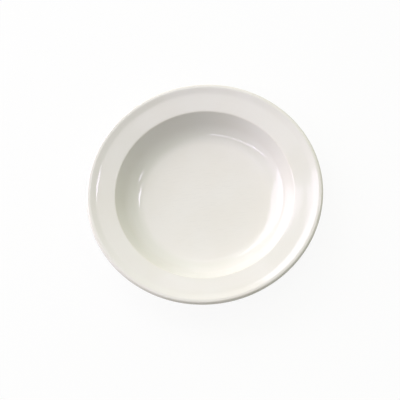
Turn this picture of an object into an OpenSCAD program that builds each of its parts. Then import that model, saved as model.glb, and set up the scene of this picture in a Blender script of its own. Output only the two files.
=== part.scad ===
// Rimmed soup plate: a fired clay body with a foot ring, and the two coats of glaze on it.
// The plate is a body of revolution. Its section is one chain of corners that starts at the middle
// of the well, runs out over the rim and the lip, and comes back underneath to the middle of the base.
// A corner is [distance from the axis, height, radius of its curve]. Sizes are those of the clay
// unless they say glazed. The origin is the middle of the ring that the plate stands on.

/* [Overall] */
// Glazed diameter over the lip
plate_d = 230; // [200:1:270]
// Glazed height from the table to the crest of the lip
plate_h = 34; // [29:0.5:40]
// Thickness of each coat of glaze
glaze_t = 0.3; // [0.2:0.05:0.5]

/* [Well] */
// Level distance across the wall, from where it would meet the floor without a curve to the verge
wall_w = 15.2; // [11:0.2:18]
// Thickness of the clay under the floor
floor_t = 5; // [4:0.25:6]
// Radius of the curve from the floor to the wall
well_curve_r = 24.5; // [10:0.5:34]
// Thickness of the wall
wall_t = 5; // [4:0.25:6]
// Radius of the curve over the verge
verge_curve_r = 2.2; // [1.5:0.1:8]

/* [Rim] */
// Level distance across the rim, from the verge to the glazed edge of the plate
rim_w = 27.5; // [22:0.5:32]
// Thickness of the rim
rim_t = 3.2; // [2.6:0.2:4.4]
// Height of the lip's crest over the verge
rim_rise = 5.5; // [4:0.1:8]
// Level distance from the verge to the root of the lip, where the rim's straight run ends
run_w = 18; // [12:0.5:20]
// Height of the lip's root over the verge
run_rise = 3.3; // [1:0.1:3.8]

/* [Lip] */
// Radius of the hollow curve at the lip's root
lip_root_r = 21; // [8:1:30]
// Level distance from the glazed edge to where the lip's inner side would reach the height of the crest
lip_w = 3.9; // [2.4:0.1:5]
// Radius of the curve on the inside of the crest
crest_curve_r = 2.5; // [1:0.5:6]
// Radius over the top of the outer side
lip_top_r = 2; // [1:0.1:3]
// Radius under the outer side
lip_under_r = 2.8; // [1.5:0.1:3.2]
// How far the lip hangs below the rim's underside, measured at the lip's root
lip_drop = 0.25; // [0.1:0.05:1]
// Radius of the curve under the rim, where the lip's thicker bead begins
bead_curve_r = 8; // [1:0.5:12]

/* [Back] */
// Radius of the hollow curve under the verge
back_curve_r = 8; // [2:0.5:14]
// Radius of the curve where the wall turns in towards the foot ring
shoulder_curve_r = 17; // [4:1:22]

/* [Foot ring] */
// Level distance from the shoulder, where the wall would meet the base, in to the ring's root
foot_inset = 10.4; // [8:0.2:15]
// Width of the land
foot_w = 3.5; // [3:0.25:6]
// Height of the foot ring
foot_h = 3; // [2.5:0.25:4]
// How much the ring widens on each side from its land to its root
foot_flare = 1.4; // [0.5:0.1:2]
// Radius of the two edges of the land
foot_edge_r = 0.8; // [0.3:0.1:1.2]
// Radius of the hollow curves at the root
foot_root_r = 2.4; // [1:0.1:3]
// Height of the bare band that is wiped clean above the land
bare_h = 1.2; // [0.8:0.1:1.6]

/* [Colours] */
// Colour of the glaze
glaze_colour = "#f1efe8";
// Colour of the bare clay
clay_colour = "#ded5c4";

/* [Hidden] */
$fn = 180;
// Turn of each step along a curve of the section, in degrees
arc_step = 5;

edge_r = plate_d / 2 - glaze_t;
verge_r = plate_d / 2 - rim_w;
crest_z = plate_h - glaze_t;
verge_z = crest_z - rim_rise;
floor_z = foot_h + floor_t;

// The unit vector at an angle, and the one a quarter turn to its left
function ahead(angle) = [cos(angle), sin(angle)];
function left(angle) = [-sin(angle), cos(angle)];
function place(corner) = [corner[0], corner[1]];
function heading(from, to) = atan2(to[1] - from[1], to[0] - from[0]);

// Where the line through p at one angle meets the line through q at another
function meet(p, p_angle, q, q_angle) =
    p + ahead(p_angle) * ((q - p) * left(q_angle)) / (ahead(p_angle) * left(q_angle));

// The turn at a corner in degrees, to the left when it is positive
function turn(path, i) =
    let (change = heading(path[i], path[i + 1]) - heading(path[i - 1], path[i]))
    change - 360 * round(change / 360);

function is_end(path, i) = i == 0 || i == len(path) - 1;

// How far a corner's curve reaches along the straight run on either side of it
function reach(path, i) = is_end(path, i) ? 0 : path[i][2] * tan(abs(turn(path, i)) / 2);

// The share of the two curves at the ends of run i that its length has room for
function room(path, i) =
    let (length = norm(place(path[i + 1]) - place(path[i])),
         wanted = reach(path, i) + reach(path, i + 1))
    wanted > length ? length / wanted : 1;

// The same corners, with each radius limited by the runs beside it
function eased(path) = [
    for (i = [0:len(path) - 1])
        is_end(path, i) ? path[i]
            : [path[i][0], path[i][1], path[i][2] * min(room(path, i - 1), room(path, i))]
];

// The corners moved out by the thickness of a coat, with curves that stay parallel
function coated(path, t) = [
    for (i = [0:len(path) - 1])
        let (before = heading(path[max(i - 1, 0)], path[max(i, 1)]),
             after = heading(path[min(i, len(path) - 2)], path[min(i + 1, len(path) - 1)]),
             out = place(path[i]) + left(before) * t,
             moved = is_end(path, i) ? out
                 : meet(out, before, place(path[i]) + left(after) * t, after))
        [moved[0], moved[1], is_end(path, i) ? 0 : path[i][2] - t * sign(turn(path, i))]
];

function arc(path, i) =
    let (angle = heading(path[i - 1], path[i]),
         swing = turn(path, i),
         inward = path[i][2] * sign(swing),
         start = place(path[i]) - ahead(angle) * reach(path, i),
         centre = start + left(angle) * inward,
         steps = max(1, ceil(abs(swing) / arc_step)))
    [for (k = [0:steps]) centre - left(angle + swing * k / steps) * inward];

// The line that is drawn: straight runs joined by true tangent arcs
function rounded(path) = [
    for (i = [0:len(path) - 1])
        for (p = is_end(path, i) || reach(path, i) == 0 ? [place(path[i])] : arc(path, i)) p
];

function reversed(points) = [for (i = [len(points) - 1:-1:0]) points[i]];

// Corners of the face, from the middle of the well to the lip
floor_corner = [verge_r - wall_w, floor_z];
verge_corner = [verge_r, verge_z];
lip_root_corner = [verge_r + run_w, verge_z + run_rise];
crest_corner = [plate_d / 2 - lip_w, crest_z];

// Slopes of the straight runs of the face
wall_slope = heading(floor_corner, verge_corner);
rim_slope = heading(verge_corner, lip_root_corner);

// The back runs parallel to the face, at the thickness of the wall or the rim
under_wall = verge_corner - left(wall_slope) * wall_t;
under_rim = lip_root_corner - left(rim_slope) * rim_t;
lip_under_corner = [edge_r, under_rim[1] - lip_drop];
bead_corner = meet(lip_under_corner, 0, under_rim, rim_slope);
back_verge_corner = meet(under_rim, rim_slope, under_wall, wall_slope);
shoulder_corner = meet([0, foot_h], 0, under_wall, wall_slope);

// The foot ring's two sides, and the places on them where the glaze is wiped off
foot_outer_root = shoulder_corner - [foot_inset, 0];
land_outer = [foot_outer_root[0] - foot_flare, 0];
land_inner = land_outer - [foot_w, 0];
foot_inner_root = [land_inner[0] - foot_flare, foot_h];
bare_share = bare_h / foot_h;
outer_wipe = land_outer + (foot_outer_root - land_outer) * bare_share;
inner_wipe = land_inner + (foot_inner_root - land_inner) * bare_share;

function corner(at, radius) = [at[0], at[1], radius];

section = eased([
    [0, floor_z, 0],
    corner(floor_corner, well_curve_r),
    corner(verge_corner, verge_curve_r),
    corner(lip_root_corner, lip_root_r),
    corner(crest_corner, crest_curve_r),
    [edge_r, crest_z, lip_top_r],
    corner(lip_under_corner, lip_under_r),
    corner(bead_corner, bead_curve_r),
    corner(back_verge_corner, back_curve_r),
    corner(shoulder_corner, shoulder_curve_r),
    corner(foot_outer_root, foot_root_r),
    corner(outer_wipe, 0),
    corner(land_outer, foot_edge_r),
    corner(land_inner, foot_edge_r),
    corner(inner_wipe, 0),
    corner(foot_inner_root, foot_root_r),
    [0, foot_h, 0],
]);

// The stretches of the section that carry glaze end at the two wiped places
function at_place(at) = [for (i = [0:len(section) - 1]) if (place(section[i]) == at) i][0];
face_path = [for (i = [0:at_place(outer_wipe)]) section[i]];
base_path = [for (i = [at_place(inner_wipe):len(section) - 1]) section[i]];

module coat(path) {
    rotate_extrude()
        polygon(concat(rounded(coated(path, glaze_t)), reversed(rounded(path))));
}

// Fired clay, bare only on the land of the foot ring
module clay_body() {
    color(clay_colour)
        rotate_extrude()
            polygon(rounded(section));
}

// Glaze over the well, the rim, the lip and the back, down to the outside of the foot ring
module face_glaze() {
    color(glaze_colour)
        coat(face_path);
}

// Glaze on the recessed base, down to the inside of the foot ring
module base_glaze() {
    color(glaze_colour)
        coat(base_path);
}

clay_body();
face_glaze();
base_glaze();
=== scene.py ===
# Rimmed soup plate in ivory glazed stoneware, dressed for a studio picture.
# The clay body is drawn as a half section and spun, as a jigger turns it. The two coats of glaze are
# grown from its surface, and stop at the bare band of the foot ring. Lengths are in millimetres.

import math

import bpy
from mathutils import Matrix, Vector


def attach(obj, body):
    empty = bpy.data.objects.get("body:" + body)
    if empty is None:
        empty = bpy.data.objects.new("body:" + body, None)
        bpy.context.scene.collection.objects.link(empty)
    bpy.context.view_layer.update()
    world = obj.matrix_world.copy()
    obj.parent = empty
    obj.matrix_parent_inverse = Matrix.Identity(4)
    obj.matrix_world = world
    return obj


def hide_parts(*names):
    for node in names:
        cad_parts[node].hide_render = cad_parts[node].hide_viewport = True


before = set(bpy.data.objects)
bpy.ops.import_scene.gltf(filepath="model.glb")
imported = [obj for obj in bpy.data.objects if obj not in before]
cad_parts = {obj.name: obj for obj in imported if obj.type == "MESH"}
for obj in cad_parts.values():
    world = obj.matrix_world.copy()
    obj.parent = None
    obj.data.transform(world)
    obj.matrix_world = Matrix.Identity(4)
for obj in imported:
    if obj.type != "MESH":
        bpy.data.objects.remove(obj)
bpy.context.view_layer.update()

MM = 0.001

# Overall
PLATE_D = 230
PLATE_H = 34
GLAZE_T = 0.3

# Well
WALL_W = 15.2
FLOOR_T = 5
WELL_CURVE_R = 24.5
WALL_T = 5
VERGE_CURVE_R = 2.2

# Rim
RIM_W = 27.5
RIM_T = 3.2
RIM_RISE = 5.5
RUN_W = 18
RUN_RISE = 3.3

# Lip
LIP_ROOT_R = 21
LIP_W = 3.9
CREST_CURVE_R = 2.5
LIP_TOP_R = 2
LIP_UNDER_R = 2.8
LIP_DROP = 0.25
BEAD_CURVE_R = 8

# Back
BACK_CURVE_R = 8
SHOULDER_CURVE_R = 17

# Foot ring
FOOT_INSET = 10.4
FOOT_W = 3.5
FOOT_H = 3
FOOT_FLARE = 1.4
FOOT_EDGE_R = 0.8
FOOT_ROOT_R = 2.4
BARE_H = 1.2

# The rounded edge that each coat of glaze takes in the fire
GLAZE_EDGE_R = 0.12
GLAZE_EDGE_STEPS = 3
GLAZE_EDGE_ANGLE = math.radians(60)

# How finely the section is drawn and spun
CURVE_STEP = math.radians(3)
RUN_STEP = 5
SPIN_STEPS = 192
SAME_PLACE = 0.001
SMOOTH_ANGLE = math.radians(35)

# Colour of the glaze: soft clouds, where the painted shade in the hollow of the well lies inside the end
# of the floor, how far that and the verge's warmer tone reach to either side, and iron specks
CLOUD_SIZE = 38
PAINTED_SHADE_INSET = 4
PAINTED_SHADE_REACH = 9
VERGE_REACH = 1.8
SPECK_APART = 11
SPECK_R = 0.16

# Scratches of cutlery: their size and ways, the radii that they fade out between, and the heights that
# they begin between, so that the base has none
SCUFF_LENGTH = 18
SCUFF_WIDTH = 0.5
SCUFF_TURNS = [math.radians(turn) for turn in (8, 52, 97, 141)]
SCUFF_FULL_R = 40
SCUFF_END_R = 66
SCUFF_START_Z = 6
SCUFF_FULL_Z = 7

# Relief of the glaze, each with its size and its height: broad swells, the rings that turning leaves,
# and the fine ripple of a fired coat
SWELL_SIZE = 24
SWELL_H = 0.05
RING_SIZE = 3.5
RING_H = 0.012
RIPPLE_SIZE = 2.2
RIPPLE_H = 0.0025

# Bare clay: blotches of the fire, grains, the rings of the turning tool, the toasted line next to the
# glaze, and the rubbed patches on the land
BLOTCH_SIZE = 5
GRAIN_SIZE = 0.35
GRAIN_H = 0.03
TOOL_RING_SIZE = 0.7
TOOL_RING_H = 0.02
TOAST_REACH = 0.5
RUBBED_SIZE = 7
RUBBED_H = 0.25

# Camera: how high it looks down from, how far it leans and how far off it stands. In pixels of the
# picture, EDGE_PX is the radius of the plate's edge, and AXIS_PX is where the plate's axis passes the
# middle of the lip.
PICTURE_PX = 400
SENSOR_MM = 36
VIEW_ELEVATION = math.radians(67.5)
VIEW_ROLL = math.radians(8)
VIEW_DISTANCE = 1640
EDGE_PX = 118.54
AXIS_PX = (204.3, 192)

# Studio floor, in metres, and how much of its look is plain white
STUDIO_R = 6
STUDIO_SIDES = 96
FLOOR_WHITE = 0.92

# Light: how far off the lamps stand in metres, how bright the room is on average and at the least, and
# how much brighter it gets along each axis. The lamps are a little pink and the room a little green, as
# in the picture's own light.
LAMP_DISTANCE = 1.6
LAMP_COLOUR = (0.98, 0.87, 1.15)
ROOM_LEVEL = 0.272
ROOM_LEAST = 0.02
ROOM_SIDE = (-0.1, 0.68, 0.3)
ROOM_COLOUR = (0.9, 1, 0.72, 1)


# Section of the clay

def ahead(angle):
    return Vector((math.cos(angle), math.sin(angle)))


def left(angle):
    return Vector((-math.sin(angle), math.cos(angle)))


def heading(start, end):
    return math.atan2(end[1] - start[1], end[0] - start[0])


def meet(p, p_angle, q, q_angle):
    """Where the line through p at one angle meets the line through q at another."""
    return p + ahead(p_angle) * (q - p).dot(left(q_angle)) / ahead(p_angle).dot(left(q_angle))


def clay_section():
    """Corners of the half section, each with the radius of its curve, from the well round to the base."""
    crest_z = PLATE_H - GLAZE_T
    edge_r = PLATE_D / 2 - GLAZE_T
    floor_z = FOOT_H + FLOOR_T
    verge = Vector((PLATE_D / 2 - RIM_W, crest_z - RIM_RISE))
    floor_end = Vector((verge.x - WALL_W, floor_z))
    lip_root = verge + Vector((RUN_W, RUN_RISE))
    crest = Vector((PLATE_D / 2 - LIP_W, crest_z))
    wall_slope = heading(floor_end, verge)
    rim_slope = heading(verge, lip_root)
    under_wall = verge - left(wall_slope) * WALL_T
    under_rim = lip_root - left(rim_slope) * RIM_T
    lip_under = Vector((edge_r, under_rim.y - LIP_DROP))
    shoulder = meet(Vector((0, FOOT_H)), 0, under_wall, wall_slope)
    outer_root = shoulder - Vector((FOOT_INSET, 0))
    land_outer = Vector((outer_root.x - FOOT_FLARE, 0))
    land_inner = land_outer - Vector((FOOT_W, 0))
    inner_root = Vector((land_inner.x - FOOT_FLARE, FOOT_H))
    bare_share = BARE_H / FOOT_H
    return {
        "middle of the well": (Vector((0, floor_z)), 0),
        "end of the floor": (floor_end, WELL_CURVE_R),
        "verge": (verge, VERGE_CURVE_R),
        "root of the lip": (lip_root, LIP_ROOT_R),
        "crest": (crest, CREST_CURVE_R),
        "top of the edge": (Vector((edge_r, crest_z)), LIP_TOP_R),
        "foot of the edge": (lip_under, LIP_UNDER_R),
        "bead": (meet(lip_under, 0, under_rim, rim_slope), BEAD_CURVE_R),
        "back of the verge": (meet(under_rim, rim_slope, under_wall, wall_slope), BACK_CURVE_R),
        "shoulder": (shoulder, SHOULDER_CURVE_R),
        "outer root": (outer_root, FOOT_ROOT_R),
        "outer wiped line": (land_outer.lerp(outer_root, bare_share), 0),
        "outside of the land": (land_outer, FOOT_EDGE_R),
        "inside of the land": (land_inner, FOOT_EDGE_R),
        "inner wiped line": (land_inner.lerp(inner_root, bare_share), 0),
        "inner root": (inner_root, FOOT_ROOT_R),
        "middle of the base": (Vector((0, FOOT_H)), 0),
    }


SECTION = clay_section()
PAINTED_SHADE_R = SECTION["end of the floor"][0].x - PAINTED_SHADE_INSET
VERGE_R = SECTION["verge"][0].x
CREST_R = SECTION["crest"][0].x
RING_MIDDLE_R = (SECTION["outside of the land"][0].x + SECTION["inside of the land"][0].x) / 2
LIP_MIDDLE_Z = (SECTION["top of the edge"][0].y + SECTION["foot of the edge"][0].y) / 2


# Modelling

def in_metres(place):
    """A place of the section, as a point in the plane of X and Z."""
    return Vector((place[0] * MM, 0, place[1] * MM))


def draw_run(start, end):
    """Extrudes the last point along a straight run, in steps that are short enough to shade well."""
    length = (end - start).length
    if length < SAME_PLACE:
        return
    steps = max(1, round(length / RUN_STEP))
    for _ in range(steps):
        bpy.ops.mesh.extrude_region_move(
            TRANSFORM_OT_translate={"value": in_metres((end - start) / steps)})


def draw_curve(start, angle, radius, swing):
    """Spins the last point round a true arc that leaves start at an angle, and returns its end."""
    centre = start + left(angle) * math.copysign(radius, swing)
    bpy.ops.mesh.spin(steps=max(2, math.ceil(abs(swing) / CURVE_STEP)), angle=swing,
                      center=in_metres(centre), axis=(0, 1, 0))
    arm = start - centre
    arm.rotate(Matrix.Rotation(swing, 2))
    return centre + arm


def draw_section(corners):
    """Draws a line of straight runs and tangent arcs, from a plane that is merged to its first point."""
    bpy.ops.mesh.primitive_plane_add(size=MM)
    bpy.ops.object.mode_set(mode="EDIT")
    bpy.ops.mesh.merge(type="CENTER")
    bpy.ops.transform.translate(value=in_metres(corners[0][0]))
    here = corners[0][0]
    for (before, _), (corner, radius), (after, _) in zip(corners, corners[1:], corners[2:]):
        angle = heading(before, corner)
        swing = heading(corner, after) - angle
        swing -= math.tau * round(swing / math.tau)
        if radius == 0:
            draw_run(here, corner)
            here = corner
            continue
        start = corner - ahead(angle) * radius * math.tan(abs(swing) / 2)
        draw_run(here, start)
        here = draw_curve(start, angle, radius, swing)
    draw_run(here, corners[-1][0])
    bpy.ops.object.mode_set(mode="OBJECT")


def spin_body(name):
    """The clay body: the half section spun once round the plate's axis."""
    bpy.ops.object.select_all(action="DESELECT")
    draw_section(list(SECTION.values()))
    body = bpy.context.object
    body.name = name
    bpy.ops.object.mode_set(mode="EDIT")
    bpy.ops.mesh.select_all(action="SELECT")
    bpy.ops.mesh.spin(steps=SPIN_STEPS, angle=math.tau, center=(0, 0, 0), axis=(0, 0, 1))
    bpy.ops.mesh.select_all(action="SELECT")
    bpy.ops.mesh.remove_doubles(threshold=SAME_PLACE * MM)
    bpy.ops.mesh.normals_make_consistent(inside=False)
    bpy.ops.object.mode_set(mode="OBJECT")
    bpy.ops.object.shade_smooth_by_angle(angle=SMOOTH_ANGLE)
    return body


def grow_coat(body, name, glazed):
    """A coat of glaze over the faces of the body that glazed picks by their middle."""
    bpy.ops.object.select_all(action="DESELECT")
    body.select_set(True)
    bpy.context.view_layer.objects.active = body
    bpy.ops.object.duplicate()
    coat = bpy.context.object
    coat.name = name
    bpy.context.tool_settings.mesh_select_mode = (False, False, True)
    for face in coat.data.polygons:
        face.select = not glazed(face.center / MM)
    bpy.ops.object.mode_set(mode="EDIT")
    bpy.ops.mesh.delete(type="FACE")
    bpy.ops.object.mode_set(mode="OBJECT")
    thickness = coat.modifiers.new("coat of glaze", "SOLIDIFY")
    thickness.thickness = GLAZE_T * MM
    thickness.offset = 1
    thickness.use_even_offset = True
    edge = coat.modifiers.new("fire rounded edge", "BEVEL")
    edge.width = GLAZE_EDGE_R * MM
    edge.segments = GLAZE_EDGE_STEPS
    edge.limit_method = "ANGLE"
    edge.angle_limit = GLAZE_EDGE_ANGLE
    bpy.ops.object.modifier_apply(modifier=thickness.name)
    bpy.ops.object.modifier_apply(modifier=edge.name)
    bpy.ops.object.shade_smooth_by_angle(angle=SMOOTH_ANGLE)
    return coat


def on_base(middle):
    return math.hypot(middle.x, middle.y) < RING_MIDDLE_R and middle.z < FOOT_H + SAME_PLACE


def on_bare_band(middle):
    return middle.z < BARE_H


clay = spin_body("turned_clay")
face_coat = grow_coat(clay, "face_coat", lambda m: not on_bare_band(m) and not on_base(m))
base_coat = grow_coat(clay, "base_coat", lambda m: not on_bare_band(m) and on_base(m))


# Materials

def linear(hex_colour):
    """An sRGB hex colour as the linear colour that a socket takes."""
    parts = [int(hex_colour[i:i + 2], 16) / 255 for i in (1, 3, 5)]
    return [p / 12.92 if p <= 0.04045 else ((p + 0.055) / 1.055) ** 2.4 for p in parts] + [1]


def add_node(tree, kind, inputs=None, **settings):
    """Adds one node, with its settings, and links or sets its inputs."""
    node = tree.nodes.new(kind)
    for name, value in settings.items():
        setattr(node, name, value)
    for name, value in (inputs or {}).items():
        if isinstance(value, bpy.types.NodeSocket):
            tree.links.new(value, node.inputs[name])
        else:
            node.inputs[name].default_value = value
    return node


def new_material(name):
    material = bpy.data.materials.new(name)
    material.use_nodes = True
    material.node_tree.nodes.clear()
    return material, material.node_tree


def place_on_plate(tree):
    """The point in millimetres, its distance from the plate's axis and its height."""
    point = add_node(tree, "ShaderNodeTexCoord").outputs["Object"]
    in_mm = add_node(tree, "ShaderNodeVectorMath", {0: point, "Scale": 1 / MM}, operation="SCALE")
    level = add_node(tree, "ShaderNodeVectorMath", {
        0: in_mm.outputs["Vector"], 1: (1, 1, 0)}, operation="MULTIPLY")
    radius = add_node(tree, "ShaderNodeVectorMath", {0: level.outputs["Vector"]}, operation="LENGTH")
    height = add_node(tree, "ShaderNodeSeparateXYZ", {0: in_mm.outputs["Vector"]})
    return in_mm.outputs["Vector"], radius.outputs["Value"], height.outputs["Z"]


def noise(tree, point, size, detail=2):
    """Clouds of a size in millimetres, from 0 to 1."""
    return add_node(tree, "ShaderNodeTexNoise", {
        "Vector": point, "Scale": 1 / size, "Detail": detail}).outputs["Fac"]


def rings(tree, radius, size):
    """Uneven rings round the plate's axis, of a size in millimetres, from 0 to 1."""
    return add_node(tree, "ShaderNodeTexNoise", {
        "W": radius, "Scale": 1 / size, "Detail": 1}, noise_dimensions="1D").outputs["Fac"]


def ramp(tree, value, low, high):
    """Rises softly from 0 where the value is low to 1 where it is high."""
    return add_node(tree, "ShaderNodeMapRange", {
        "Value": value, "From Min": low, "From Max": high}, interpolation_type="SMOOTHSTEP").outputs["Result"]


def band(tree, value, middle, reach):
    """1 where the value is at the middle, and softly down to 0 at its reach on either side."""
    away = add_node(tree, "ShaderNodeMath", {0: value, 1: middle}, operation="SUBTRACT")
    off = add_node(tree, "ShaderNodeMath", {0: away.outputs[0]}, operation="ABSOLUTE")
    return ramp(tree, off.outputs[0], reach, 0)


def times(tree, first, second):
    return add_node(tree, "ShaderNodeMath", {0: first, 1: second}, operation="MULTIPLY").outputs[0]


def highest(tree, first, second):
    return add_node(tree, "ShaderNodeMath", {0: first, 1: second}, operation="MAXIMUM").outputs[0]


def weighed_sum(tree, start, *parts):
    """The start plus each value times its weight."""
    total = start
    for value, weight in parts:
        total = add_node(tree, "ShaderNodeMath", {
            0: value, 1: weight, 2: total}, operation="MULTIPLY_ADD").outputs[0]
    return total


def tinted(tree, colour, *tints):
    """The colour, turned towards each tint by its share."""
    for tint, share in tints:
        colour = add_node(tree, "ShaderNodeMix", {
            0: share, 6: colour, 7: linear(tint)}, data_type="RGBA").outputs[2]
    return colour


def scattered(tree, point, apart, size, share):
    """Round specks of a radius, about so far apart, at a share of the places."""
    cells = add_node(tree, "ShaderNodeTexVoronoi", {"Vector": point, "Scale": 1 / apart})
    spot = ramp(tree, cells.outputs["Distance"], 1.4 * size / apart, 0.8 * size / apart)
    lot = add_node(tree, "ShaderNodeSeparateColor", {0: cells.outputs["Color"]})
    kept = add_node(tree, "ShaderNodeMath", {0: lot.outputs[0], 1: share}, operation="LESS_THAN")
    return times(tree, spot, kept.outputs[0])


def scuffs(tree, point, radius, height):
    """Faint scratches of cutlery on the floor of the well, in a few directions."""
    total = 0.0
    for turn in SCUFF_TURNS:
        lines = add_node(tree, "ShaderNodeMapping", {
            "Vector": point, "Rotation": (0, 0, turn), "Scale": (1 / SCUFF_LENGTH, 1 / SCUFF_WIDTH, 0)})
        drawn = noise(tree, lines.outputs[0], 1, detail=1)
        total = highest(tree, total, ramp(tree, drawn, 0.66, 0.74))
    on_floor = times(
        tree, ramp(tree, radius, SCUFF_END_R, SCUFF_FULL_R), ramp(tree, height, SCUFF_START_Z, SCUFF_FULL_Z))
    return times(tree, total, on_floor)


def finish_material(tree, colour, ior, roughness, relief):
    """The shader of a surface, with its relief in millimetres."""
    bump = add_node(tree, "ShaderNodeBump", {"Height": relief, "Distance": MM})
    shader = add_node(tree, "ShaderNodeBsdfPrincipled", {
        "Base Color": colour, "IOR": ior, "Normal": bump.outputs["Normal"], "Roughness": roughness})
    add_node(tree, "ShaderNodeOutputMaterial", {"Surface": shader.outputs["BSDF"]})


def glossy_ivory_glaze():
    """Ivory glaze, sprayed over the ware and fired to a gloss: a hard opaque glass that mirrors the
    lamps sharply. It is thinner and warmer on edges, and a painted shade, darker and greener, lies in the
    hollow of the well."""
    material, tree = new_material("ivory_glaze")
    point, radius, height = place_on_plate(tree)
    clouds = noise(tree, point, CLOUD_SIZE)
    scratched = scuffs(tree, point, radius, height)
    colour = tinted(
        tree, linear("#f2f0eb"),
        ("#eeeae1", clouds),
        # Painted shade: a darker, greener tone in the hollow of the well
        ("#e3e4d8", times(tree, band(tree, radius, PAINTED_SHADE_R, PAINTED_SHADE_REACH), 0.3)),
        ("#ecdfc8", times(tree, band(tree, radius, VERGE_R, VERGE_REACH), 0.08)),
        ("#ecdfc8", times(tree, ramp(tree, radius, CREST_R, PLATE_D / 2), 0.12)),
        ("#9a8a70", times(tree, scattered(tree, point, SPECK_APART, SPECK_R, 0.25), 0.7)),
        ("#b9b7b2", times(tree, scratched, 0.12)))
    roughness = weighed_sum(tree, 0.05, (clouds, 0.03), (scratched, 0.15))
    relief = weighed_sum(
        tree, 0.0,
        (noise(tree, point, SWELL_SIZE), SWELL_H),
        (rings(tree, radius, RING_SIZE), RING_H),
        (noise(tree, point, RIPPLE_SIZE, detail=0), RIPPLE_H))
    finish_material(tree, colour, 1.52, roughness, relief)
    return material


def bare_fired_clay():
    """Fired stoneware clay, wiped clean of glaze: fine and matt, with the tool's rings, toasted next to
    the glaze and rubbed grey where it slides on the table."""
    material, tree = new_material("bare_clay")
    point, radius, height = place_on_plate(tree)
    blotches = noise(tree, point, BLOTCH_SIZE)
    grains = noise(tree, point, GRAIN_SIZE, detail=0)
    patches = noise(tree, point, RUBBED_SIZE, detail=3)
    rubbed = times(tree, ramp(tree, height, RUBBED_H, 0), ramp(tree, patches, 0.35, 0.6))
    colour = tinted(
        tree, linear("#ded5c4"),
        ("#cdbfa6", times(tree, blotches, 0.7)),
        ("#b8a88e", times(tree, ramp(tree, grains, 0.55, 0.75), 0.5)),
        ("#c29f74", times(tree, band(tree, height, BARE_H, TOAST_REACH), 0.5)),
        ("#8d8478", times(tree, rubbed, 0.5)))
    roughness = weighed_sum(tree, 0.82, (rubbed, -0.25))
    relief = weighed_sum(tree, 0.0, (grains, GRAIN_H), (rings(tree, radius, TOOL_RING_SIZE), TOOL_RING_H))
    finish_material(tree, colour, 1.5, roughness, relief)
    return material


glaze = glossy_ivory_glaze()
for coat, node in ((face_coat, "face_glaze"), (base_coat, "base_glaze")):
    coat.data.materials.clear()
    coat.data.materials.append(glaze)
    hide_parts(node)
    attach(coat, "root")
clay.data.materials.clear()
clay.data.materials.append(bare_fired_clay())
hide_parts("clay_body")
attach(clay, "root")


# Studio

def seen(tree):
    """1 for a ray from the camera, straight or by way of gloss or glass, and 0 for one that only lights."""
    path = add_node(tree, "ShaderNodeLightPath")
    share = path.outputs["Is Camera Ray"]
    for ray in ("Is Glossy Ray", "Is Transmission Ray"):
        share = highest(tree, share, path.outputs[ray])
    return share


def add_floor():
    """A pale paper floor that keeps the plate's shadow, and looks nearly plain white."""
    bpy.ops.object.select_all(action="DESELECT")
    bpy.ops.mesh.primitive_circle_add(
        vertices=STUDIO_SIDES, radius=STUDIO_R, fill_type="NGON", location=(0, 0, 0))
    floor = bpy.context.object
    floor.name = "studio_floor"
    material, tree = new_material("studio_floor")
    paper = add_node(tree, "ShaderNodeBsdfDiffuse", {"Color": linear("#f4f3f0")})
    white = add_node(tree, "ShaderNodeEmission", {"Color": (1, 1, 1, 1), "Strength": 1})
    mix = add_node(tree, "ShaderNodeMixShader", {
        0: times(tree, seen(tree), FLOOR_WHITE), 1: paper.outputs[0], 2: white.outputs[0]})
    add_node(tree, "ShaderNodeOutputMaterial", {"Surface": mix.outputs[0]})
    floor.data.materials.append(material)


def add_world():
    """A pale room, brighter on one side, that fills the shadows. The camera and gloss see plain white."""
    world = bpy.data.worlds.new("studio")
    bpy.context.scene.world = world
    world.use_nodes = True
    tree = world.node_tree
    tree.nodes.clear()
    way = add_node(tree, "ShaderNodeTexCoord").outputs["Generated"]
    side = add_node(tree, "ShaderNodeVectorMath", {0: way, 1: ROOM_SIDE}, operation="DOT_PRODUCT")
    level = add_node(tree, "ShaderNodeMath", {0: side.outputs["Value"], 1: ROOM_LEVEL}, operation="ADD")
    room = highest(tree, level.outputs[0], ROOM_LEAST)
    fill = add_node(tree, "ShaderNodeBackground", {"Color": ROOM_COLOUR, "Strength": room})
    white = add_node(tree, "ShaderNodeBackground", {"Color": (1, 1, 1, 1), "Strength": 1})
    mix = add_node(tree, "ShaderNodeMixShader", {
        0: seen(tree), 1: fill.outputs[0], 2: white.outputs[0]})
    add_node(tree, "ShaderNodeOutputWorld", {"Surface": mix.outputs[0]})


def way_to(bearing, rise):
    """The direction from the plate to a place in the studio, in degrees round the plate, with 0 to the
    right of the camera and 90 beyond the plate, and in degrees above the table."""
    turn, lift = math.radians(bearing), math.radians(rise)
    return Vector((math.cos(turn) * math.cos(lift), math.sin(turn) * math.cos(lift), math.sin(lift)))


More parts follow.
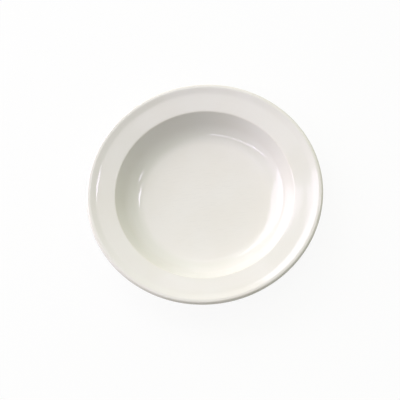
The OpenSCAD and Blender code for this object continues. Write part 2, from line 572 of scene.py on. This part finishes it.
def add_lamp(name, start, end, width, power):
    """A flat lamp that faces the plate, and reaches from one direction to another."""
    middle = (start + end).normalized()
    along = (end - start).normalized()
    across = middle.cross(along)
    bpy.ops.object.light_add(type="AREA")
    lamp = bpy.context.object
    lamp.name = name
    lamp.matrix_world = Matrix.LocRotScale(
        middle * LAMP_DISTANCE, Matrix((along, across, middle)).transposed(), None)
    lamp.data.shape = "RECTANGLE"
    lamp.data.size = 2 * LAMP_DISTANCE * math.tan(start.angle(end) / 2)
    lamp.data.size_y = width
    lamp.data.energy = power
    lamp.data.color = LAMP_COLOUR


def add_camera():
    """Stands the camera at the photograph's viewing angle, and turns it so that the plate is in its place."""
    lens_px = EDGE_PX * VIEW_DISTANCE / (PLATE_D / 2)
    data = bpy.data.cameras.new("camera")
    data.sensor_width = SENSOR_MM
    data.lens = lens_px * SENSOR_MM / PICTURE_PX
    camera = bpy.data.objects.new("camera", data)
    bpy.context.scene.collection.objects.link(camera)
    back = Vector((0, -math.cos(VIEW_ELEVATION), math.sin(VIEW_ELEVATION)))
    place = (Vector((0, 0, LIP_MIDDLE_Z)) + back * VIEW_DISTANCE) * MM
    facing = back.to_track_quat("Z", "Y").to_matrix() @ Matrix.Rotation(-VIEW_ROLL, 3, "Z")
    to_axis = Vector((AXIS_PX[0] - PICTURE_PX / 2, PICTURE_PX / 2 - AXIS_PX[1], -lens_px))
    aside = Vector((0, 0, -1)).rotation_difference(to_axis.normalized()).to_matrix()
    camera.matrix_world = Matrix.LocRotScale(place, facing @ aside.inverted(), None)
    bpy.context.scene.camera = camera


add_floor()
add_world()
# The broad key stands at the far left. The far softbox shows faintly at the foot of the near wall, and
# the overhead one on the far side of the rim.
add_lamp("key_softbox", way_to(161, 4), way_to(105.6, 50), width=1, power=19)
add_lamp("far_softbox", way_to(90, 53), way_to(90, 61.5), width=0.35, power=0.2)
add_lamp("overhead_softbox", way_to(0, 82), way_to(180, 72), width=1, power=1.4)
# The small lamps leave the thin bright arcs where the floor of the well turns up into its wall
add_lamp("strip_light", way_to(-172, 35), way_to(-109, 66), width=0.045, power=3.4)
add_lamp("right_ceiling_lamp", way_to(44, 61), way_to(44, 67), width=0.16, power=0.66)
add_lamp("far_right_ceiling_lamp", way_to(6.5, 53.2), way_to(6.5, 59.2), width=0.16, power=0.5)
add_camera()
bpy.context.scene.view_settings.view_transform = "Standard"
